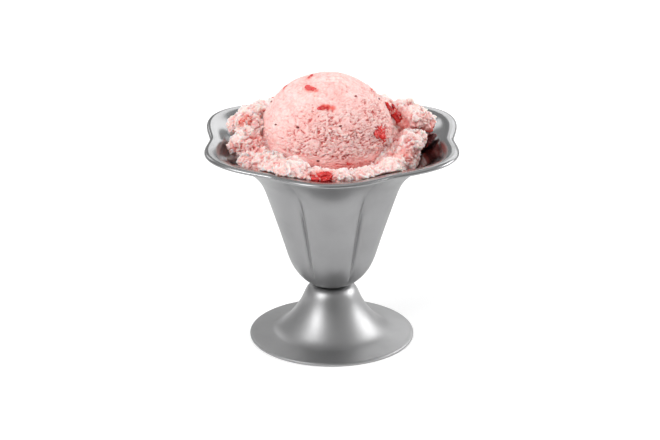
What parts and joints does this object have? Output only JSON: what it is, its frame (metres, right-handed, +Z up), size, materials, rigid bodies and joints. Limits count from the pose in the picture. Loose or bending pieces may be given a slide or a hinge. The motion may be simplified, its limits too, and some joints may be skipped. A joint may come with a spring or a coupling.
{
  "type": "strawberry ice cream sundae in a steel tulip dish",
  "caption": "Strawberry ice cream scoop on a rough bed of ice cream with strawberry pieces, in a fluted stainless steel tulip dish with a turned trumpet foot.",
  "frame": {"origin": "centre of the foot's resting ring, on the table", "axes": "+Z up along the dish's axis; -Y towards the middle of one lobe, the side the picture shows; +X to the right in the picture, across two notches of the rim"},
  "size_m": [0.106, 0.1148, 0.1171],
  "materials": {
    "bowl_steel": "satin stainless steel outside, polished inside",
    "foot_steel": "satin stainless steel, spun",
    "bed_cream": "rough pink ice cream with torn crumbs",
    "scoop_cream": "pink ice cream, smooth above and pitted lower down",
    "strawberry": "wet strawberry flesh"
  },
  "bodies": {
    "root": {"dish_bowl": "bowl_steel", "dish_foot": "foot_steel", "ice_cream_bed": "bed_cream", "ice_cream_scoop": "scoop_cream", "strawberry_front": "strawberry", "strawberry_right": "strawberry", "strawberry_left": "strawberry", "strawberry_scoop": "strawberry", "strawberry_back": "strawberry", "strawberry_back_left": "strawberry"}
  },
  "joints": []
}
